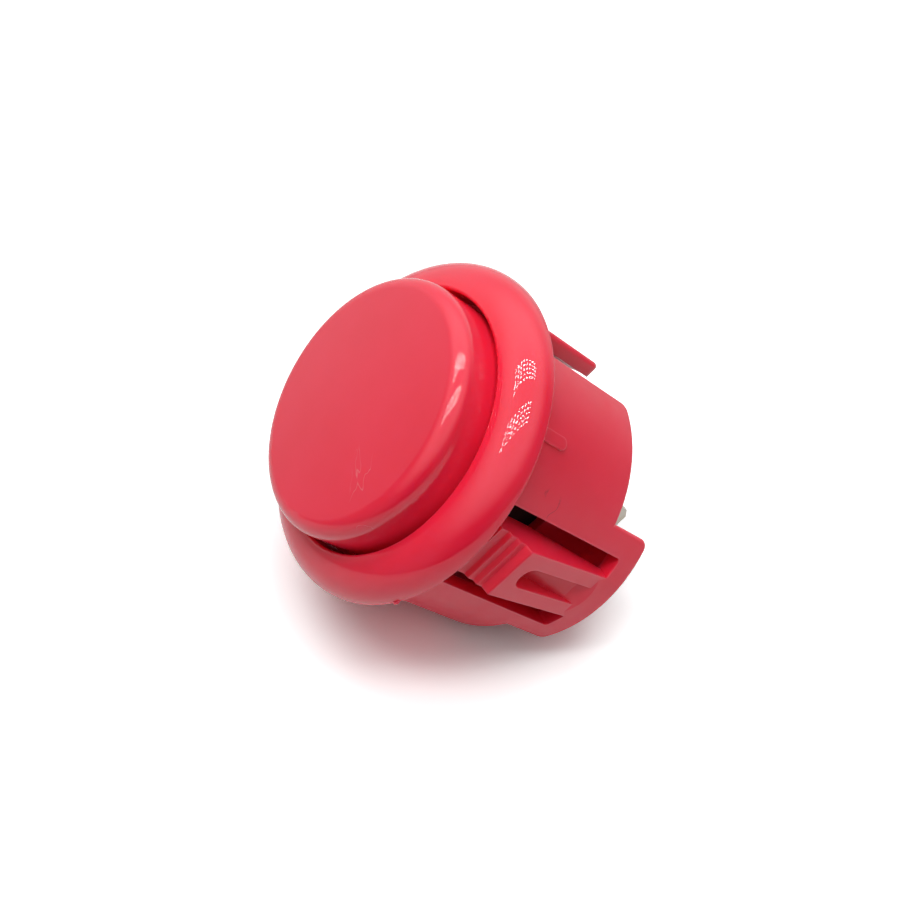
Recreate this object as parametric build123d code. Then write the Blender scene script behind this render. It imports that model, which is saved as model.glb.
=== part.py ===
from build123d import *
import os
from math import cos, radians, sqrt, tan

# Snap-in arcade push button for a round hole in a control panel, in millimetres.
# The origin is on the button's axis, in the plane where the rim meets the panel.
# +Z points out of the panel to the player, +X to one latch, +Y to one guide slot.

# Panel hole and rim
hole_diameter = 30.0
hole_gap = 0.3
rim_overlap = 1.65
rim_height = 3.3
rim_edge = 0.3
rim_lip_round = 0.3
rim_foot_round = 0.15

# Housing shell: a collar behind the rim, four walls, and a leg behind each latch
collar_wall = 1.75
collar_depth = 1.6
wall_thickness = 1.6
wall_depth = 14.75
wall_corner_round = 1.0
shell_edge_round = 0.45
leg_angle = 60.0
leg_depth = 20.1
leg_corner_round = 0.9
slot_width = 5.6
rib_count = 4
rib_width = 1.2
rib_length = 4.65
rib_gap = 0.05

# Latches: a tongue in a window of the shell, rooted in a band at the leg's end
window_width = 9.8
window_corner_round = 0.35
leg_band = 2.7
latch_width = 5.6
latch_thickness = 1.2
latch_web = 1.1
latch_lean = 1.15
latch_end_gap = 0.5
latch_catch = 1.17
latch_peak_depth = 5.3
latch_lip = 0.77
latch_lip_run = 0.45
latch_steps = 3
step_rise = 0.4
step_run = 0.25
step_round = 0.15
peak_round = 0.25
latch_ramp = 2.2
ramp_sink = 0.05
recess_width = 2.4
recess_start = 6.9
recess_corner = 1.1

# Plunger: the cap that the player presses, with a post and two hooked legs
cap_gap = 0.45
cap_rise = 7.3
cap_edge_round = 1.45
cap_crown = 0.2
cap_thickness = 1.6
skirt_wall = 1.4
skirt_length = 6.9
travel = 2.2
post_diameter = 4.6
web_thickness = 1.0
web_height = 3.2
guide_gap = 0.2
guide_depth = 5.0
hook_gap = 0.05
hook_reach = 1.2
hook_land = 1.0

# Switch case: a base and a cover, held in the housing by four lips and four teeth
case_depth = 6.0
case_length = 17.6
case_ledge = 1.2
case_edge = 0.4
cover_height = 4.6
cover_wall = 1.0
cover_roof = 1.2
base_floor = 1.9
cavity_wall = 1.3

# Housing pocket round the switch case
pocket_wall = 1.0
pocket_gap = 0.1
pocket_floor = 1.2
pocket_drop = 0.2
flank_wall = 1.0
seat_gap = 0.05
lip_height = 1.0
lip_gap = 0.3
guide_wall = 1.2
guide_length = 2.2
tooth_width = 2.0
tooth_reach = 0.5
tooth_height = 0.8
tooth_spacing = 5.6

# Switch works: actuator, bridge, contacts, terminals and return spring
actuator_diameter = 3.2
actuator_fit = 0.08
actuator_spare = 0.3
actuator_touch = 0.02
actuator_flange_diameter = 5.0
actuator_flange = 1.0
flange_stop_gap = 0.1
pilot_diameter = 2.0
pilot_length = 1.6
pilot_fit = 0.05
bridge_room = 0.2
bridge_width = 3.0
bridge_thickness = 0.4
contact_diameter = 1.6
contact_height = 0.4
contact_shank = 0.8
contact_edge = 0.15
contact_clear = 0.1
tab_width = 2.8
tab_thickness = 0.5
tab_spacing = 8.8
tab_offset = 4.6
tab_length = 7.55
tab_chamfer = 0.7
tab_fit = 0.05
spring_diameter = 4.0
spring_wire = 0.35
spring_turns = 6
spring_seat_depth = 3.2
spring_pocket_gap = 0.3

# Radii and levels that follow from the sizes above
hole_radius = hole_diameter / 2
body_radius = hole_radius - hole_gap
rim_radius = hole_radius + rim_overlap
bore_radius = body_radius - collar_wall
inner_radius = body_radius - wall_thickness
cap_radius = bore_radius - cap_gap
skirt_radius = cap_radius - skirt_wall
hook_radius = cap_radius + hook_reach
window_end = leg_depth - leg_band

contact_place = tab_spacing / 2 - tab_width / 2 + contact_edge + contact_diameter / 2
bridge_length = 2 * contact_place + contact_diameter + 2 * contact_edge
cover_width = bridge_length + 2 * bridge_room + 2 * cover_wall
base_width = cover_width + 2 * case_ledge

skirt_bottom = cap_rise - skirt_length
cover_top = -case_depth
case_joint = cover_top - cover_height
actuator_top = cover_top + travel + actuator_spare
post_bottom = actuator_top + actuator_touch
flange_top = cover_top - cover_roof - flange_stop_gap
bridge_top = flange_top - actuator_flange
bridge_bottom = bridge_top - bridge_thickness
fixed_contact_top = bridge_bottom - contact_height - travel - contact_clear
shelf_top = fixed_contact_top - contact_height
shelf_bottom = shelf_top - tab_thickness
spring_seat = shelf_bottom - spring_seat_depth
base_bottom = spring_seat - base_floor
lip_bottom = case_joint + seat_gap
pocket_top = lip_bottom + lip_height
tooth_top = base_bottom - seat_gap
tooth_bottom = tooth_top - tooth_height
pocket_bottom = -leg_depth + shell_edge_round
pocket_inner = case_length / 2 + pocket_gap
pocket_outer = pocket_inner + pocket_wall


def block(x, y, z):
    """A box given by its lowest and highest value on each axis."""
    middle = Pos((x[0] + x[1]) / 2, (y[0] + y[1]) / 2, (z[0] + z[1]) / 2)
    return middle * Box(x[1] - x[0], y[1] - y[0], z[1] - z[0])


def disc(radius, bottom, top, x=0.0, y=0.0):
    """An upright cylinder between two levels."""
    return Pos(x, y, (bottom + top) / 2) * Cylinder(radius, top - bottom)


def tube(inner, outer, bottom, top):
    """An upright tube between two levels."""
    return disc(outer, bottom, top) - disc(inner, bottom, top)


def soften(wall, bottom, top):
    """Rounds the outer edges of a curved wall, down its sides and along its lower end."""
    outside = wall.faces().sort_by(SortBy.AREA)[-1]
    return fillet(outside.edges().filter_by_position(Axis.Z, bottom, top, (True, False)), shell_edge_round)


def build_rim():
    """The domed bezel in front of the panel, highest at the lip of the bore for the cap."""
    crest = bore_radius + rim_lip_round
    dome = EllipticalCenterArc((crest, rim_edge), rim_radius - crest, rim_height - rim_edge, arc_size=90)
    lip = RadiusArc((bore_radius, rim_height - rim_lip_round), (crest, rim_height), rim_lip_round)
    sides = Polyline((bore_radius, rim_height - rim_lip_round), (bore_radius, 0), (rim_radius, 0),
                     (rim_radius, rim_edge))
    face = make_face(Curve() + [dome, lip, sides])
    foot = face.vertices().group_by(Axis.Y)[0].sort_by(Axis.X)[-1]
    return revolve(Plane.XZ * fillet(foot, rim_foot_round), Axis.Z)


def build_shell():
    """Collar, four walls with rounded corners beside the slots, and two legs with radial flanks."""
    collar = tube(bore_radius, body_radius, -collar_depth, 0)
    reach = rim_radius - slot_width / 2
    panel = Pos(slot_width / 2 + reach / 2, 0) * RectangleRounded(reach, wall_depth * 2, wall_corner_round)
    wall = extrude(Plane.XZ * panel, rim_radius, both=True)
    wall = wall & tube(inner_radius, body_radius, -wall_depth, -collar_depth)
    wall = soften(wall, -wall_depth, -collar_depth)
    strip = Polyline((inner_radius / 2, 0), (inner_radius / 2, -leg_depth), (rim_radius, -leg_depth),
                     (rim_radius, 0), close=True)
    sector = revolve(Plane.XZ * make_face(strip), Axis.Z, revolution_arc=leg_angle)
    flank_ends = sector.edges().group_by(Axis.Z)[0].filter_by(GeomType.LINE)
    leg = Rot(0, 0, -leg_angle / 2) * fillet(flank_ends, leg_corner_round)
    leg = leg & tube(inner_radius, body_radius, -leg_depth, -collar_depth)
    leg = soften(leg, -leg_depth, -collar_depth)
    opening = Plane.YZ * RectangleRounded(window_width, window_end * 2, window_corner_round)
    side = wall + leg - extrude(opening, rim_radius)
    return collar + side + Rot(0, 0, 180) * side


def build_latch():
    """One cantilever latch on the +X side: a stepped nose on a leaning tongue with a tapered recess."""
    tongue_face = sqrt(body_radius ** 2 - (latch_width / 2) ** 2)
    tongue_back = tongue_face - latch_thickness
    head_back = tongue_back - latch_lean
    free_end = -collar_depth - latch_end_gap
    peak = hole_radius + latch_catch
    root = -window_end - leg_band / 2
    run = (latch_peak_depth - latch_lip_run + free_end) / latch_steps
    nose = []
    for step in range(latch_steps):
        tread = peak - latch_lip - step_rise * (latch_steps - 1 - step)
        start = step_run if step > 0 else 0
        nose.append((tread, free_end - run * step - start))
        nose.append((tread, free_end - run * (step + 1)))
    top = (peak, -latch_peak_depth)
    side = [(head_back, free_end)] + nose + [top, (tongue_face, -window_end), (tongue_face, root)]
    side += [(tongue_back, root), (tongue_back, -window_end), (head_back, -recess_start)]
    profile = make_face(Polyline(side, close=True))
    steps = profile.vertices().filter_by_position(Axis.Y, -latch_peak_depth, free_end, (False, False))
    profile = fillet(steps, step_round)
    crest = profile.vertices().sort_by(Axis.X)[-1]
    tongue = extrude(Plane.XZ * fillet(crest, peak_round), latch_width / 2, both=True)
    floor = Polyline((head_back + latch_web, -recess_start), (tongue_back + latch_web, -window_end),
                     (rim_radius, -window_end), (rim_radius, -recess_start), close=True)
    depth = extrude(Plane.XZ * make_face(floor), recess_width, both=True)
    length = 2 * (window_end - recess_start)
    plan = Plane.YZ * (Pos(0, -window_end) * RectangleRounded(recess_width, length, recess_corner))
    floor_slope = latch_lean / (window_end - recess_start)
    ramp_start = tongue_back + latch_web - floor_slope * latch_ramp - ramp_sink
    wedge = Polyline((ramp_start, -window_end + latch_ramp), (body_radius, -window_end),
                     (ramp_start, -window_end), close=True)
    ramp = extrude(Plane.XZ * make_face(wedge), latch_width / 2, both=True)
    ramp = ramp & disc(body_radius, -window_end, -window_end + latch_ramp)
    return tongue - (extrude(plan, rim_radius) & depth) + ramp


def build_ribs():
    """Low centring ribs under the rim, between each latch and each slot."""
    rib_radius = hole_radius - rib_gap
    straight = rib_length - rib_width / 2
    bar = block((inner_radius, rim_radius), (-rib_width / 2, rib_width / 2), (-straight, 0))
    tip = Pos(0, 0, -straight) * Rot(0, 90, 0) * Cylinder(rib_width / 2, rim_radius)
    tip = Pos((inner_radius + rim_radius) / 2, 0, 0) * tip & block(
        (inner_radius, rim_radius), (-rib_width, rib_width), (-rib_length, 0))
    rib = (bar + tip) & disc(rib_radius, -rib_length, 0)
    ribs = Part()
    for place in range(rib_count):
        ribs += Rot(0, 0, (place + 0.5) * 360 / rib_count) * rib
    return ribs


def build_pocket():
    """One chord wall with lips, guides and snap teeth for the switch case, and a box behind the latch."""
    guide_end = -wall_depth + shell_edge_round
    side_top = case_joint - pocket_drop
    joined = inner_radius + wall_thickness / 2
    span = block((pocket_inner, pocket_outer), (-body_radius, body_radius), (guide_end, side_top))
    side = span & disc(joined, guide_end, side_top)
    slope = tan(radians(leg_angle / 2))
    half_tail = pocket_inner * slope
    side += block((pocket_inner, pocket_outer), (-half_tail, half_tail), (pocket_bottom, side_top))
    plan = Polyline((pocket_inner, -half_tail), (joined, -joined * slope), (joined, joined * slope),
                    (pocket_inner, half_tail), close=True)
    box = extrude(Pos(0, 0, pocket_bottom) * make_face(plan), guide_end - pocket_bottom)
    flank = flank_wall / cos(radians(leg_angle / 2))
    near = pocket_outer * slope - flank
    far = rim_radius * slope - flank
    room = Polyline((pocket_outer, -near), (rim_radius, -far), (rim_radius, far), (pocket_outer, near),
                    close=True)
    box -= extrude(Pos(0, 0, pocket_bottom + pocket_floor) * make_face(room), leg_depth)
    side += box & disc(joined, pocket_bottom, guide_end)
    guide_inner = base_width / 2 + pocket_gap
    guide_outer = guide_inner + guide_wall
    lip_inner = cover_width / 2 + lip_gap
    inward = (pocket_inner - guide_length, pocket_outer)
    for sign in (-1, 1):
        side += block(inward, sorted((sign * guide_inner, sign * guide_outer)), (guide_end, pocket_top))
        side += block(inward, sorted((sign * lip_inner, sign * guide_outer)), (lip_bottom, pocket_top))
        tooth = Polyline((pocket_inner, tooth_top), (pocket_inner - tooth_reach, tooth_top),
                         (pocket_inner, tooth_bottom), close=True)
        teeth = extrude(Plane.XZ * make_face(tooth), tooth_width / 2, both=True)
        side += Pos(0, sign * tooth_spacing / 2, 0) * teeth
    return side


def build_housing():
    """Rim, shell, latches, ribs and the switch pocket's two sides, moulded as one piece."""
    latch = build_latch()
    pocket = build_pocket()
    housing = build_rim() + build_shell() + build_ribs()
    for turn in (0, 180):
        housing += Rot(0, 0, turn) * pocket
        housing += Rot(0, 0, turn) * latch
    return housing


def build_plunger():
    """Domed cap with a skirt, a centre post on four webs, and two hooked guide legs."""
    shoulder = cap_radius - cap_edge_round
    brow = cap_rise - cap_crown
    dome = ThreePointArc((-shoulder, brow), (0, cap_rise), (shoulder, brow))
    top_half = split(dome, Plane.YZ, Keep.TOP)
    skirt_top = brow - cap_edge_round
    edge = RadiusArc((shoulder, brow), (cap_radius, skirt_top), cap_edge_round)
    ceiling = cap_rise - cap_thickness
    rest = Polyline((cap_radius, skirt_top), (cap_radius, skirt_bottom), (skirt_radius, skirt_bottom),
                    (skirt_radius, ceiling), (0, ceiling), (0, cap_rise))
    cap = revolve(Plane.XZ * make_face(Curve() + [top_half, edge, rest]), Axis.Z)
    post = disc(post_diameter / 2, post_bottom, ceiling)
    half_web = web_thickness / 2
    web = block((-skirt_radius, skirt_radius), (-half_web, half_web), (ceiling - web_height, ceiling))
    plunger = cap + post + web + Rot(0, 0, 90) * web
    half_width = slot_width / 2 - guide_gap
    hook_top = -collar_depth - hook_gap
    stem = block((-half_width, half_width), (0, cap_radius), (-guide_depth, skirt_top))
    stem = stem & tube(skirt_radius, cap_radius, -guide_depth, skirt_top)
    barb = Polyline((skirt_radius, hook_top), (hook_radius, hook_top), (hook_radius, hook_top - hook_land),
                    (cap_radius, -guide_depth), (skirt_radius, -guide_depth), close=True)
    hook = extrude(Plane.YZ * make_face(barb), half_width, both=True)
    hook = hook & tube(skirt_radius, hook_radius, -guide_depth, 0)
    for turn in (0, 180):
        plunger += Rot(0, 0, turn) * (stem + hook)
    return plunger


def build_switch_base():
    """Black lower case: contact cavity, two terminal slots and a round spring seat."""
    half_length = case_length / 2
    half_width = base_width / 2
    base = block((-half_length, half_length), (-half_width, half_width), (base_bottom, case_joint))
    base = chamfer(base.edges().group_by(Axis.Z)[0], case_edge)
    room = bridge_width / 2 + cavity_wall
    cavity_side = half_width - cavity_wall
    tab_face = tab_offset + tab_thickness / 2
    cavity_end = tab_face + cavity_wall
    base -= block((-room, cavity_end), (-cavity_side, cavity_side), (shelf_bottom, case_joint))
    base -= disc(spring_diameter / 2 + spring_pocket_gap, spring_seat, shelf_bottom)
    for sign in (-1, 1):
        slot = block((tab_offset - tab_thickness / 2 - tab_fit, tab_face + tab_fit),
                     (-tab_width / 2 - tab_fit, tab_width / 2 + tab_fit), (base_bottom, case_joint))
        base -= Pos(0, sign * tab_spacing / 2, 0) * slot
    return base


def build_switch_cover():
    """Black upper case: an open-bottomed box with the actuator's guide hole."""
    half_length = case_length / 2
    half_width = cover_width / 2
    cover = block((-half_length, half_length), (-half_width, half_width), (case_joint, cover_top))
    cover = chamfer(cover.edges().group_by(Axis.Z)[-1], case_edge)
    cover -= block((-half_length + cover_wall, half_length - cover_wall),
                   (-half_width + cover_wall, half_width - cover_wall), (case_joint, cover_top - cover_roof))
    return cover - disc(actuator_diameter / 2 + actuator_fit, cover_top - cover_roof, cover_top)


def build_actuator():
    """Round stem with a flange under the cover and a pilot through the bridge."""
    stem = disc(actuator_diameter / 2, flange_top, actuator_top)
    stem = chamfer(stem.edges().group_by(Axis.Z)[-1], case_edge)
    flange = disc(actuator_flange_diameter / 2, bridge_top, flange_top)
    pilot = disc(pilot_diameter / 2, bridge_bottom - pilot_length, bridge_top)
    return stem + flange + pilot


def build_bridge():
    """Springy metal strip that joins the two fixed contacts when it is pressed down."""
    bridge = block((-bridge_width / 2, bridge_width / 2), (-bridge_length / 2, bridge_length / 2),
                   (bridge_bottom, bridge_top))
    bridge -= disc(pilot_diameter / 2 + pilot_fit, bridge_bottom, bridge_top)
    for sign in (-1, 1):
        bridge -= disc(contact_shank / 2, bridge_bottom, bridge_top, y=sign * contact_place)
    return bridge


def build_moving_contact(sign):
    """Rivet whose head hangs under the bridge."""
    head = disc(contact_diameter / 2, bridge_bottom - contact_height, bridge_bottom, y=sign * contact_place)
    return head + disc(contact_shank / 2, bridge_bottom, bridge_top, y=sign * contact_place)


def build_fixed_contact(sign):
    """Rivet whose head stands on a terminal's shelf."""
    head = disc(contact_diameter / 2, shelf_top, fixed_contact_top, y=sign * contact_place)
    return head + disc(contact_shank / 2, shelf_bottom, shelf_top, y=sign * contact_place)


def build_terminal(sign):
    """Folded strip: a shelf under the bridge and a blade out of the base with a chamfered tip."""
    half = tab_width / 2
    tip = base_bottom - tab_length
    shoulder = tip + tab_chamfer
    nose = half - tab_chamfer
    outline = Polyline((-half, shelf_top), (half, shelf_top), (half, shoulder), (nose, tip),
                       (-nose, tip), (-half, shoulder), close=True)
    blade = extrude(Plane.YZ * make_face(outline), tab_thickness / 2, both=True)
    blade = Pos(tab_offset, sign * tab_spacing / 2, 0) * blade
    shelf_end = -bridge_width / 2
    shelf = block((shelf_end, tab_offset), (-half, half), (shelf_bottom, shelf_top))
    shelf = Pos(0, sign * tab_spacing / 2, 0) * shelf
    return blade + shelf - disc(contact_shank / 2, shelf_bottom, shelf_top, y=sign * contact_place)


def build_spring():
    """Coil between the seat in the base and the underside of the bridge."""
    wire = spring_wire / 2
    coil_radius = spring_diameter / 2 - wire
    height = bridge_bottom - spring_seat - spring_wire
    coil = Helix(height / spring_turns, height, coil_radius)
    section = Plane(coil @ 0, z_dir=coil % 0) * Circle(wire)
    return Pos(0, 0, spring_seat + wire) * sweep(section, path=coil, is_frenet=True)


parts = {
    "housing": build_housing(),
    "plunger": build_plunger(),
    "switch_base": build_switch_base(),
    "switch_cover": build_switch_cover(),
    "actuator": build_actuator(),
    "contact_bridge": build_bridge(),
    "left_moving_contact": build_moving_contact(-1),
    "right_moving_contact": build_moving_contact(1),
    "left_fixed_contact": build_fixed_contact(-1),
    "right_fixed_contact": build_fixed_contact(1),
    "left_terminal": build_terminal(-1),
    "right_terminal": build_terminal(1),
    "return_spring": build_spring(),
}

os.makedirs("parts", exist_ok=True)
for node, solid in parts.items():
    export_step(solid, f"parts/{node}.step")
    print(node, "volume", round(solid.volume, 2), "solids", len(solid.solids()))
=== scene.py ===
# %% [markdown]
# # Dressing a snap-in push button
# This lesson takes a push button that was built as solids and gives it its looks. The button is a
# small red moulding that snaps into a 30 mm hole: a glossy cap you press, a domed rim, a shell with
# two spring latches, and a little black switch hidden inside. The solids arrive as a fixed frame.
# We never move or reshape them. We add light, a camera, finishes and the few pieces that a solid
# can't show well. Everything is in metres, with the button's axis along Z and the cap on top.

# %% Open the frame
import math
import bpy
import bmesh
from mathutils import Matrix, Vector


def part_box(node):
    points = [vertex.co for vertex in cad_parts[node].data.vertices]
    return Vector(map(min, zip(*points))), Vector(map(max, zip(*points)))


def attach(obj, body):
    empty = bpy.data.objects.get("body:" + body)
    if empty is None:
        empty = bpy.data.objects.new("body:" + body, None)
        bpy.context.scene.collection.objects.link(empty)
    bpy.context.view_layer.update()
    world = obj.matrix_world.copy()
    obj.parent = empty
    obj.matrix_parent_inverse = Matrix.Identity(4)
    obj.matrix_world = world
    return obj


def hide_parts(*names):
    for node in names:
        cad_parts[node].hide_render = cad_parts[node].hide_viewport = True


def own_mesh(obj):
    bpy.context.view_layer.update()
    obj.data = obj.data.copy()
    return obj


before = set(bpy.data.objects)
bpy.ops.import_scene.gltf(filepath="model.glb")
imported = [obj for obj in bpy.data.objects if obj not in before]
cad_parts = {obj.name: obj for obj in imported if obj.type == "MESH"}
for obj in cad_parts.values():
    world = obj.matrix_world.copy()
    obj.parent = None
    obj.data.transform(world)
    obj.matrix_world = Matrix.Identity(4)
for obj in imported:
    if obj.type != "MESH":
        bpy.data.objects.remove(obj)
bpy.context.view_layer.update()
MM = 0.001
print("solids:", ", ".join(sorted(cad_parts)))

# %% [markdown]
# ## How the button lies
# In its picture the button isn't upright. It leans back on three points: the corner of the far leg,
# the corner of a wall, and the tip of one terminal. We could turn the button, but the frame must stay
# put, so the floor is tilted instead. A plane needs a direction and a distance, and both come from
# those three points.

# %% Find the floor under the three resting points
leg_corner = Vector((-12.69, -6.94, -19.83)) * MM
wall_corner = Vector((-3.77, -14.07, -14.62)) * MM
terminal_tip = Vector((4.35, -5.10, -24.95)) * MM
up = (leg_corner - wall_corner).cross(terminal_tip - wall_corner).normalized()
up = up if up.z > 0 else -up
floor_drop = up.dot(wall_corner)
foot = up * floor_drop
print("floor faces", [round(v, 3) for v in up])
print("it lies", round(-floor_drop / MM, 2), "mm under the rim's centre")

# %% [markdown]
# ## The camera
# The camera looks down on the cap at about fifty degrees and a little from the side, so that one latch
# and its window face us. Its place and its three directions were measured from the shapes in the
# picture: the ellipses of cap and rim give the direction of the axis, the latch gives the turn about it.
# A camera in Blender looks along its own minus Z, so its third direction points back to the viewer.

# %% Place the camera
def add_object(name, data, stands=Matrix()):
    """Puts a mesh, a lamp or a camera into the scene, where the matrix says."""
    made = bpy.data.objects.new(name, data)
    made.matrix_world = stands
    bpy.context.scene.collection.objects.link(made)
    return made


camera_place = Vector((75.503, 35.112, 67.148)) * MM
to_right = Vector((0.32587, 0.67300, -0.66401))
to_top = Vector((-0.65266, 0.66827, 0.35701))
to_viewer = Vector((0.68399, 0.31702, 0.65701))
camera_turn = Matrix((to_right, to_top, to_viewer)).transposed()
camera_stands = Matrix.Translation(camera_place) @ camera_turn.to_4x4()
camera = add_object("camera", bpy.data.cameras.new("camera"), camera_stands)
camera.data.sensor_width = 36.0
camera.data.lens = 46.388
camera.data.clip_start = 0.005
bpy.context.scene.camera = camera
bpy.context.scene.view_settings.view_transform = "Standard"
print("camera looks down at", round(math.degrees(math.asin(to_viewer.dot(up)))), "degrees")

# %% [markdown]
# ## A light tent
# Small products are often pictured in a white tent with two lamp strips in its roof. The tent makes the
# light soft, and the strips leave small bright marks on rounded edges. We build the strips twice. An
# area light gives the smooth light but is hidden from reflections. A board of small lamps is seen
# only in reflections, so the rim shows rows of dots as it would under real strips.

# %% Directions on the floor
across = (to_right - up * to_right.dot(up)).normalized()
away = up.cross(across)
tent_turn = Matrix((across, away, up)).transposed()
roof_height = 0.25


def over_the_floor(right, back, height):
    """Where an object goes, so far to the right, to the back and above the floor, and level with it."""
    spot = foot + across * right + away * back + up * height
    return Matrix.Translation(spot) @ tent_turn.to_4x4()


print("across", [round(v, 3) for v in across], "away", [round(v, 3) for v in away])

# %% Two soft lamp strips in the roof
# Each strip: how far right and back of the button its middle is, its length, its width and its power.
strips = {
    "back_strip": (-0.007, 0.064, 0.240, 0.048, 0.18),
    "front_strip": (-0.015, -0.034, 0.225, 0.056, 0.24),
}
for name, (right, back, length, width, watts) in strips.items():
    lamp = bpy.data.lights.new(name, "AREA")
    lamp.shape = "RECTANGLE"
    lamp.size = length
    lamp.size_y = width
    lamp.energy = watts
    holder = add_object(name, lamp, over_the_floor(right, back, roof_height))
    holder.visible_glossy = False
    print(name, "shines with", watts, "W")

# %% [markdown]
# ## Small lamps for the reflections
# Materials in Blender are graphs of nodes. One short helper adds a node, sets its properties and fills
# its sockets, either with a plain value or with a link from another node. All finishes below use it.

# %% A helper that adds nodes
def add_node(tree, kind, sockets=None, **settings):
    """Adds a node to a graph, sets its properties and fills its sockets with values or links."""
    made = tree.nodes.new("ShaderNode" + kind)
    for name, value in settings.items():
        setattr(made, name, value)
    for name, value in (sockets or {}).items():
        if isinstance(value, bpy.types.NodeSocket):
            tree.links.new(value, made.inputs[name])
        else:
            made.inputs[name].default_value = value
    return made


def new_graph(name):
    """A material with an empty graph and its output node."""
    material = bpy.data.materials.new(name)
    material.use_nodes = True
    material.node_tree.nodes.clear()
    return material, material.node_tree, add_node(material.node_tree, "OutputMaterial")


def mesh_of(name, shape, material):
    """Turns a finished bmesh into a mesh that wears the material."""
    mesh = bpy.data.meshes.new(name)
    shape.to_mesh(mesh)
    shape.free()
    mesh.materials.append(material)
    return mesh


print("node helpers ready")

# %% Boards of small lamps, seen only in reflections
lamp_brightness = 34.0
lamp_rows = 5
lamp_pitch = 0.030
lamp_sides = 10
lamp_shape = Matrix.Diagonal((0.0075, 0.0024, 1.0, 1.0))
lamp_glow, graph, output = new_graph("lamp_glow")
glow = add_node(graph, "Emission", {"Strength": lamp_brightness})
graph.links.new(glow.outputs["Emission"], output.inputs["Surface"])
lamp_glow.cycles.emission_sampling = "NONE"
for name, (right, back, length, width, _) in strips.items():
    board = bmesh.new()
    columns = round(length / lamp_pitch)
    for row in range(lamp_rows):
        for column in range(columns):
            along = (column + 0.5) / columns * length - length / 2
            aside = (row + 0.5) / lamp_rows * width - width / 2
            spot = Matrix.Translation((along, aside, 0)) @ lamp_shape
            bmesh.ops.create_circle(board, cap_ends=True, segments=lamp_sides, radius=1.0, matrix=spot)
    board_name = name + "_lamps"
    hung = over_the_floor(right, back, roof_height)
    lamps = add_object(board_name, mesh_of(board_name, board, lamp_glow), hung)
    lamps.visible_camera = False
    lamps.visible_diffuse = False
    lamps.visible_shadow = False
    lamps.visible_transmission = False
    print(lamps.name, lamp_rows * columns, "small lamps")

# %% [markdown]
# ## The tent's cloth
# The cloth is the world, in soft panels: a diffuser under the lamps, a bright roof, duller sides, and
# hardly any light from the front, where the tent is open to the viewer. That opening gives a glossy
# moulding its depth, since faces turned to it mirror less white and look deeper red. Each panel says
# how much it lights the button and how bright it is in a reflection. The camera sees plain white.

# %% Sums on a graph
def between(graph, value, low, high, start, end, kind="LINEAR"):
    """Maps a value's range from low to high onto values from start to end, and keeps them there."""
    sockets = {"Value": value, "From Min": low, "From Max": high, "To Min": start, "To Max": end}
    return add_node(graph, "MapRange", sockets, interpolation_type=kind).outputs["Result"]


def sums(graph, operation, *values):
    """One sum with up to three values or links."""
    return add_node(graph, "Math", dict(enumerate(values)), operation=operation).outputs["Value"]


def in_a_mirror(graph):
    """One for rays that come off a gloss or through glass, none for all others."""
    ray = add_node(graph, "LightPath").outputs
    return sums(graph, "MAXIMUM", ray["Is Glossy Ray"], ray["Is Transmission Ray"])


def by_the_camera(graph):
    """One for rays that come straight from the camera, none for all others."""
    return add_node(graph, "LightPath").outputs["Is Camera Ray"]


print("sums ready")

# %% Light from the cloth
# Each panel: its direction, the cosines where it starts and is full, its light, its mirrored brightness.
panels = {
    "diffuser": (up, 0.65, 0.96, 1.05, 0.0),
    "roof": (up, 0.30, 0.85, 0.10, 1.45),
    "back": (away, 0.10, 0.80, 0.05, 0.95),
    "left": (-across, 0.10, 0.80, 0.04, 0.28),
    "right": (across, 0.10, 0.80, 0.06, 0.22),
    "front": (-away, 0.10, 0.80, 0.03, 0.03),
}
world = bpy.data.worlds.new("light_tent")
bpy.context.scene.world = world
world.use_nodes = True
tent = world.node_tree
tent.nodes.clear()
direction = add_node(tent, "TexCoord").outputs["Generated"]
light, brightness = 0.0, 0.0
for axis, start, full, soft, mirrored in panels.values():
    turn = add_node(tent, "VectorMath", {0: direction, 1: axis}, operation="DOT_PRODUCT")
    share = between(tent, turn.outputs["Value"], start, full, 0.0, 1.0, "SMOOTHSTEP")
    light = sums(tent, "MULTIPLY_ADD", share, soft, light)
    brightness = sums(tent, "MULTIPLY_ADD", share, mirrored, brightness)
white = (1.0, 1.0, 1.0, 1.0)
soft_cloth = add_node(tent, "Background", {"Color": white, "Strength": light}).outputs[0]
seen_cloth = add_node(tent, "Background", {"Color": white, "Strength": brightness}).outputs[0]
backdrop = add_node(tent, "Background", {"Color": white, "Strength": 1.0}).outputs[0]
lit = add_node(tent, "MixShader", {0: in_a_mirror(tent), 1: soft_cloth, 2: seen_cloth}).outputs[0]
shown = add_node(tent, "MixShader", {0: by_the_camera(tent), 1: lit, 2: backdrop}).outputs[0]
add_node(tent, "OutputWorld", {"Surface": shown})
print("cloth panels:", ", ".join(panels))

# %% [markdown]
# ## The floor
# A plain white sheet. It is an ordinary matte surface, so the button's shadow and its red glow fall on
# it by themselves. The camera sees it a little whiter than it shines back on the button, as on an
# overexposed sheet, and a shade cooler, so that the red glow stays near the button. From below it lets
# us look through, so that the underside can be pictured too.

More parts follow.
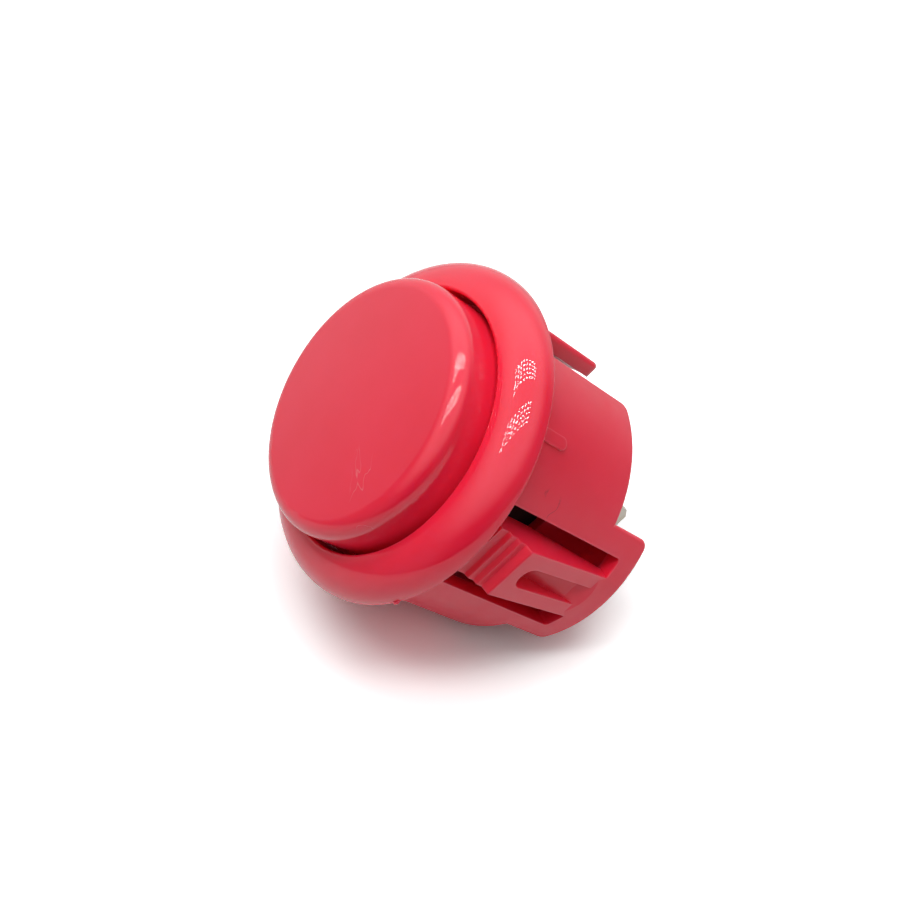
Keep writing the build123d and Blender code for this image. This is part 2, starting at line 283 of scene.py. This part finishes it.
# %% Lay the floor
floor_size = 0.46
paper_white = (0.74, 0.74, 0.74, 1)
seen_white = (1.50, 1.56, 1.56, 1)
mirrored_share = 0.3
white_sheet, graph, output = new_graph("white_sheet")
paper = add_node(graph, "BsdfDiffuse", {"Color": paper_white}).outputs[0]
seen_paper = add_node(graph, "BsdfDiffuse", {"Color": seen_white}).outputs[0]
clear = add_node(graph, "BsdfTransparent").outputs[0]
seen = sums(graph, "MULTIPLY_ADD", in_a_mirror(graph), mirrored_share, by_the_camera(graph))
from_below = add_node(graph, "NewGeometry").outputs["Backfacing"]
sheet_top = add_node(graph, "MixShader", {0: seen, 1: paper, 2: seen_paper}).outputs[0]
both_sides = add_node(graph, "MixShader", {0: from_below, 1: sheet_top, 2: clear}).outputs[0]
graph.links.new(both_sides, output.inputs["Surface"])
sheet = bmesh.new()
bmesh.ops.create_grid(sheet, x_segments=4, y_segments=4, size=floor_size / 2)
floor = add_object("floor", mesh_of("floor", sheet, white_sheet), over_the_floor(0, 0, 0))
print("floor", floor_size, "m wide")

# %% [markdown]
# ## The red of the mouldings
# Cap and housing are moulded from plastic that is coloured all through. A flat colour would look like
# paint, so the red gets faint clouds where the pigment is uneven, fine hairlines from handling and an
# uneven gloss. All patterns are placed in millimetres on the piece itself, so they move with it.

# %% Patterns that every finish shares
noise_low, noise_high = 0.3, 0.7


def in_millimetres(graph, stretch=(1, 1, 1)):
    """Where we are on the piece, in millimetres, stretched if the pattern is to run one way."""
    place = add_node(graph, "TexCoord").outputs["Object"]
    scale = tuple(s / MM for s in stretch)
    return add_node(graph, "VectorMath", {0: place, 1: scale}, operation="MULTIPLY").outputs["Vector"]


def clouds(graph, place, per_mm, detail=3.0, roughness=0.5, distortion=0.0):
    """A soft random pattern with so many patches in a millimetre."""
    sockets = {"Vector": place, "Scale": per_mm, "Detail": detail}
    sockets.update({"Roughness": roughness, "Distortion": distortion})
    return add_node(graph, "TexNoise", sockets).outputs["Fac"]


def uneven(graph, place, per_mm, start, end, **more):
    """The soft pattern again, spread over the values from start to end."""
    return between(graph, clouds(graph, place, per_mm, **more), noise_low, noise_high, start, end)


def two_tone(graph, share, first, second):
    """Goes from a first colour to a second one with the share."""
    mix = add_node(graph, "Mix", {0: share}, data_type="RGBA")
    for place, colour in ((6, first), (7, second)):
        if isinstance(colour, bpy.types.NodeSocket):
            graph.links.new(colour, mix.inputs[place])
        else:
            mix.inputs[place].default_value = (*colour, 1)
    return mix.outputs[2]


print("patterns ready")

# %% Marks of handling
def rubbed_spot(graph, place, centre, radius):
    """One at a point of the piece, in millimetres, and none beyond the radius."""
    distance = add_node(graph, "VectorMath", {0: place, 1: centre}, operation="DISTANCE").outputs["Value"]
    return between(graph, distance, radius * 0.7, radius, 1.0, 0.0)


def hairlines(graph, place, per_mm, width, patch):
    """Thin curling lines, the contour of a soft pattern, kept only where the patch is."""
    wander = clouds(graph, place, per_mm, detail=2.0, distortion=0.8)
    off = sums(graph, "SUBTRACT", wander, 0.5)
    line = between(graph, sums(graph, "ABSOLUTE", off), 0.0, width, 1.0, 0.0)
    return sums(graph, "MULTIPLY", line, patch)


def up_to(graph, share, most):
    """A share that stops short of one."""
    return between(graph, share, 0.0, 1.0, 0.0, most)


print("marks ready")

# %% Relief and edges
edge_sure, edge_none = 0.55, 0.95


def raised(graph, height, depth, under=None):
    """Turns a pattern into fine relief of that depth in metres."""
    sockets = {"Height": height, "Distance": depth, "Strength": 1.0}
    if under is not None:
        sockets["Normal"] = under
    return add_node(graph, "Bump", sockets).outputs["Normal"]


def soft_edges(graph, radius):
    """Edges catch the light as if they were rounded a little more."""
    return add_node(graph, "Bevel", {"Radius": radius}, samples=6).outputs["Normal"]


def outer_edges(graph, reach):
    """One along outer edges and none on faces: rays sent into the piece from an edge soon leave it."""
    settings = {"samples": 8, "inside": True, "only_local": True}
    inwards = add_node(graph, "AmbientOcclusion", {"Distance": reach}, **settings)
    return between(graph, inwards.outputs["AO"], edge_sure, edge_none, 1.0, 0.0)


print("relief ready")

# %% [markdown]
# ## Housing: satin red with a polished rim
# Rim and shell are one moulding, but the mould was polished only where a player sees and touches it. So
# the gloss follows the height: like glass on the rim, a little duller on the shell, where the moulding
# slid out of its tool. Light goes a millimetre or so into this plastic and comes out redder, so slots and
# thin walls glow. Subsurface scattering does that, with a long way for red and a short one for green and
# blue. Outer edges get a painted highlight: where a ray sent into the piece soon leaves it on another
# side, the red is painted a shade paler. The shell's gloss stays on the dull side: in a trial with a
# lower range, small tick marks showed on the walls.

# %% Reds and the plastic they colour
red = (0.880, 0.020, 0.062)
red_deep = (0.845, 0.016, 0.052)
# Painted highlight: a paler, pinker red for outer edges, as if they caught the light.
red_painted_highlight = (0.930, 0.065, 0.115)
red_worn = (0.880, 0.200, 0.240)
red_scuffed = (0.34, 0.008, 0.022)
glow_depth = 1.2 * MM
skin_depth = 0.6e-6


def moulded_red(graph, output, colour, gloss, relief):
    """Red plastic that light enters a little way."""
    sockets = {"Base Color": colour, "Roughness": gloss, "Normal": relief}
    body = add_node(graph, "BsdfPrincipled", sockets)
    body.inputs["IOR"].default_value = 1.50
    body.inputs["Subsurface Weight"].default_value = 0.5
    body.inputs["Subsurface Radius"].default_value = (1.0, 0.12, 0.08)
    body.inputs["Subsurface Scale"].default_value = glow_depth
    graph.links.new(body.outputs["BSDF"], output.inputs["Surface"])


def dress(material, *names):
    """Puts a finish on the solids of these names."""
    for name in names:
        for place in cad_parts[name].material_slots:
            place.material = material
    print(material.name, "on", ", ".join(names))


print("the plastic glows", round(glow_depth / MM, 2), "mm deep")

# %% Red plastic of the housing
scuff_place, scuff_radius = (13.3, 6.2, -5.4), 1.5
painted_highlight_reach = 0.25 * MM
edge_round = 0.10 * MM
rim_start, rim_full = -0.15, 0.05
red_plastic, graph, output = new_graph("red_plastic")
place = in_millimetres(graph)
colour = two_tone(graph, uneven(graph, place, 0.16, 0.0, 1.0), red_deep, red)
scuff_spot = rubbed_spot(graph, place, scuff_place, scuff_radius)
scuff = hairlines(graph, place, 0.55, 0.045, scuff_spot)
colour = two_tone(graph, up_to(graph, scuff, 0.85), colour, red_scuffed)
# Painted highlight: the red is painted paler and pinker along outer edges, as if they caught the light.
painted_edge_highlight = up_to(graph, outer_edges(graph, painted_highlight_reach), 0.8)
colour = two_tone(graph, painted_edge_highlight, colour, red_painted_highlight)
height = add_node(graph, "SeparateXYZ", {"Vector": place}).outputs["Z"]
on_rim = between(graph, height, rim_start, rim_full, 0.0, 1.0)
shell_gloss = uneven(graph, place, 0.35, 0.30, 0.40, detail=2.0)
rim_gloss = uneven(graph, place, 0.8, 0.015, 0.035)
gloss = add_node(graph, "Mix", {0: on_rim, 2: shell_gloss, 3: rim_gloss}).outputs[0]
plain = add_node(graph, "NewGeometry").outputs["Normal"]
soft = soft_edges(graph, edge_round)
edges = add_node(graph, "Mix", {0: on_rim, 4: soft, 5: plain}, data_type="VECTOR").outputs[1]
skin = raised(graph, clouds(graph, place, 0.9, detail=1.0), skin_depth, edges)
moulded_red(graph, output, colour, gloss, skin)
dress(red_plastic, "housing")

# %% [markdown]
# ## Plunger: polished red
# The cap is the part that fingers meet, so its mould was polished like a lens. It mirrors the tent
# sharply. What breaks the mirror is use: a few hair-thin scratches that run over the cap's edge where a
# nail slid off. They are contours of a soft pattern, turned and drawn out in the way of the slide.

# %% The way a nail slides off the cap
slide_turn = math.radians(-26)
slide_stretch = Vector((0.28, 1.0, 1.0))
slide_middle = Vector((9.4, -3.0, 7.0))
slide_radius = 1.6
slide_centre = Matrix.Rotation(-slide_turn, 3, "Z") @ slide_middle * slide_stretch


def along_the_slide(graph, place):
    """Places on the cap, turned and drawn out so that a pattern on them runs the way of the slide."""
    sockets = {"Vector": place, "Angle": -slide_turn}
    turned = add_node(graph, "VectorRotate", sockets, rotation_type="Z_AXIS").outputs["Vector"]
    drawn = add_node(graph, "VectorMath", {0: turned, 1: slide_stretch}, operation="MULTIPLY")
    return drawn.outputs["Vector"]


print("the slide turns", round(math.degrees(slide_turn)), "degrees")

# %% Glossy red of the plunger
red_gloss, graph, output = new_graph("red_gloss")
place = in_millimetres(graph)
colour = two_tone(graph, uneven(graph, place, 0.13, 0.0, 1.0), red_deep, red)
slide = along_the_slide(graph, place)
marks = hairlines(graph, slide, 0.45, 0.012, rubbed_spot(graph, slide, slide_centre, slide_radius))
colour = two_tone(graph, up_to(graph, marks, 0.6), colour, red_worn)
haze = uneven(graph, place, 0.5, 0.015, 0.035)
gloss = sums(graph, "ADD", haze, up_to(graph, marks, 0.25))
skin = raised(graph, clouds(graph, place, 0.6, detail=1.0), skin_depth)
moulded_red(graph, output, colour, gloss, skin)
dress(red_gloss, "plunger")

# %% [markdown]
# ## Switch case: black, filled with glass
# The case of the switch is moulded from a black plastic with short glass fibres in it. The fibres make
# the skin matte and leave tiny grey flecks. A high pattern with few bright points gives the flecks.

# %% Black plastic of the case
black, fleck_grey = (0.010, 0.010, 0.011), (0.045, 0.045, 0.047)
fibres_lie = (1, 1, 0.4)
grain_depth = 4.0e-6
case_edge_round = 0.08 * MM
black_plastic, graph, output = new_graph("black_plastic")
place = in_millimetres(graph)
fibres = clouds(graph, in_millimetres(graph, fibres_lie), 9.0, detail=1.0)
colour = two_tone(graph, between(graph, fibres, 0.66, 0.74, 0.0, 1.0), black, fleck_grey)
gloss = uneven(graph, place, 1.2, 0.36, 0.50)
grain = raised(graph, clouds(graph, place, 7.0), grain_depth, soft_edges(graph, case_edge_round))
body = add_node(graph, "BsdfPrincipled", {"Base Color": colour, "Roughness": gloss, "Normal": grain})
graph.links.new(body.outputs["BSDF"], output.inputs["Surface"])
dress(black_plastic, "switch_base", "switch_cover")

# %% [markdown]
# ## Actuator: natural nylon
# The stem is left in the plastic's own milky white. Light goes a little way into it, which subsurface
# scattering does, and rubbing in its guide has polished some patches.

# %% White plastic of the actuator
milky, milky_light = (0.74, 0.72, 0.66), (0.80, 0.79, 0.75)
rubbed_along = (1, 1, 0.15)
nylon_depth = 2.0e-6
stem_edge_round = 0.06 * MM
white_plastic, graph, output = new_graph("white_plastic")
place = in_millimetres(graph)
colour = two_tone(graph, clouds(graph, place, 0.5), milky, milky_light)
gloss = uneven(graph, in_millimetres(graph, rubbed_along), 2.5, 0.30, 0.48)
skin = raised(graph, clouds(graph, place, 5.0), nylon_depth, soft_edges(graph, stem_edge_round))
body = add_node(graph, "BsdfPrincipled", {"Base Color": colour, "Roughness": gloss, "Normal": skin})
body.inputs["Subsurface Weight"].default_value = 0.2
body.inputs["Subsurface Radius"].default_value = (1.0, 0.9, 0.7)
body.inputs["Subsurface Scale"].default_value = 0.5 * MM
graph.links.new(body.outputs["BSDF"], output.inputs["Surface"])
dress(white_plastic, "actuator")

# %% [markdown]
# ## Four metals
# A strip of copper alloy carries the current, rivets of silver touch, tinned tabs leave the case and a
# steel coil pushes back. All four are metal, so one recipe serves: a clean colour and a dull one, a
# pattern that says where the metal has dulled, and fine lines in the direction it was rolled or drawn.

# %% A recipe for worked metal
polish, line_spread = 0.29, 0.16
line_depth = 2.0e-6
metal_edge_round = 0.04 * MM
along_x, along_z, all_ways = (0.06, 1, 1), (1, 1, 0.06), (0.5, 0.5, 0.5)


def worked_metal(name, clean, dull, run, dulled_from):
    """Metal with rolling or drawing lines along one direction and dull patches between."""
    material, graph, output = new_graph(name)
    wear = clouds(graph, in_millimetres(graph), 0.9, detail=4.0, roughness=0.6)
    patches = between(graph, wear, dulled_from, dulled_from + 0.25, 0.0, 1.0)
    colour = two_tone(graph, patches, clean, dull)
    lines = clouds(graph, in_millimetres(graph, run), 12.0, detail=2.0)
    gloss = between(graph, lines, 0.25, 0.75, polish, polish + line_spread)
    relief = raised(graph, lines, line_depth, soft_edges(graph, metal_edge_round))
    sockets = {"Base Color": colour, "Roughness": gloss, "Normal": relief}
    body = add_node(graph, "BsdfPrincipled", sockets)
    body.inputs["Metallic"].default_value = 1.0
    graph.links.new(body.outputs["BSDF"], output.inputs["Surface"])
    return material


copper_alloy = worked_metal("copper_alloy", (0.78, 0.42, 0.27), (0.46, 0.22, 0.13), along_x, 0.48)
silver = worked_metal("silver_contact", (0.83, 0.82, 0.79), (0.52, 0.49, 0.43), all_ways, 0.50)
tinned_brass = worked_metal("tinned_brass", (0.53, 0.49, 0.43), (0.45, 0.38, 0.28), along_z, 0.52)
spring_steel = worked_metal("spring_steel", (0.56, 0.56, 0.57), (0.38, 0.37, 0.36), all_ways, 0.52)
dress(copper_alloy, "contact_bridge")
dress(silver, "left_moving_contact", "right_moving_contact", "left_fixed_contact", "right_fixed_contact")
dress(tinned_brass, "left_terminal", "right_terminal")

# %% [markdown]
# ## The return spring
# The solid spring is a bare helix. A real coil ends in closed turns, where the wire lies flat so that the
# spring stands straight. We sweep a small ring of points along a helix whose pitch is tight at both ends.
# The coil gets shorter when the cap is pressed; here it hangs on the housing and stands in for the solid
# spring, which is hidden.

# %% A helper that lofts through rings
def loft(name, rings, material):
    """A closed mesh through rings of points, each joined to the next, with a lid on both ends."""
    shape = bmesh.new()
    loops = [[shape.verts.new(point) for point in ring] for ring in rings]
    for first, second in zip(loops, loops[1:]):
        for side in range(len(first)):
            after = (side + 1) % len(first)
            shape.faces.new((first[side], first[after], second[after], second[side]))
    shape.faces.new(loops[0])
    shape.faces.new(loops[-1])
    bmesh.ops.recalc_face_normals(shape, faces=shape.faces)
    mesh = mesh_of(name, shape, material)
    mesh.shade_smooth()
    return mesh


print("loft ready")

# %% The path of the wire
coil_low, coil_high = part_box("return_spring")
wire = 0.35 * MM
coil_height = coil_high.z - coil_low.z
coil_radius = (coil_high.x - coil_low.x) / 2 - wire / 2
coil_turns = 7.5
closed_turns = 1.0
steps_per_turn = 40
wire_sides = 12
upwards = Vector((0, 0, 1))


def rise_at(turn):
    """How far up the coil a turn is, from 0 to 1: closed turns at the ends, even pitch between."""
    closed = wire / (coil_height - wire)
    if turn < closed_turns:
        return turn * closed
    if turn > coil_turns - closed_turns:
        return 1 - (coil_turns - turn) * closed
    free = (turn - closed_turns) / (coil_turns - 2 * closed_turns)
    return closed_turns * closed + free * (1 - 2 * closed_turns * closed)


def wire_ring(turn):
    """The points round the wire at one place on the coil."""
    angle = turn * math.tau
    out = Vector((math.cos(angle), math.sin(angle), 0))
    centre_height = coil_low.z + wire / 2 + rise_at(turn) * (coil_height - wire)
    centre = out * coil_radius + upwards * centre_height
    sides = [side / wire_sides * math.tau for side in range(wire_sides)]
    return [centre + (out * math.cos(s) + upwards * math.sin(s)) * wire / 2 for s in sides]


print("wire", round(wire / MM, 2), "mm thick, coil", round(coil_height / MM, 2), "mm high")

# %% Wind the coil
coil_steps = round(coil_turns * steps_per_turn)
coil_rings = [wire_ring(step / steps_per_turn) for step in range(coil_steps + 1)]
spring_coil = add_object("spring_coil", loft("spring_coil", coil_rings, spring_steel))
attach(spring_coil, "housing")
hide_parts("return_spring")
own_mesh(spring_coil)

# %% [markdown]
# ## The gate stub
# Molten plastic enters a mould through a narrow gate. When the moulding is broken off its runner, a stub
# stays behind, here low on the rim's edge. It is smaller than a grain of rice. We loft it from a few
# uneven rings, each a little further out, so that its end looks torn and not cut.

# %% Break off the gate
stub_angle = math.radians(-29.5)
rim_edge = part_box("housing")[1].x
stub_height = 0.22 * MM
outwards = Vector((math.cos(stub_angle), math.sin(stub_angle), 0))
sideways = Vector((-math.sin(stub_angle), math.cos(stub_angle), 0))
# Each ring: how far out it is, its half width, its half height, all in millimetres.
stub_rings = ((-0.20, 0.52, 0.17), (0.02, 0.46, 0.16), (0.14, 0.38, 0.13), (0.21, 0.22, 0.08))
stub_end = stub_rings[-1][0]
tear = (0.00, 0.05, -0.03, 0.04, 0.01, -0.05, 0.03, -0.02, 0.05, -0.01)


def stub_ring(far, half_width, half_height):
    """The points of one ring, more ragged the further out it is."""
    points = []
    for place, bite in enumerate(tear):
        turn = place / len(tear) * math.tau
        reach = far + bite * max(far, 0) / stub_end
        spot = outwards * (rim_edge + reach * MM)
        spot += upwards * (stub_height + half_height * MM * math.sin(turn))
        points.append(spot + sideways * half_width * MM * math.cos(turn))
    return points


stub_mesh = loft("gate_stub", [stub_ring(*ring) for ring in stub_rings], red_plastic)
gate_stub = add_object("gate_stub", stub_mesh)
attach(gate_stub, "housing")
print("gate stub", len(stub_mesh.polygons), "faces")
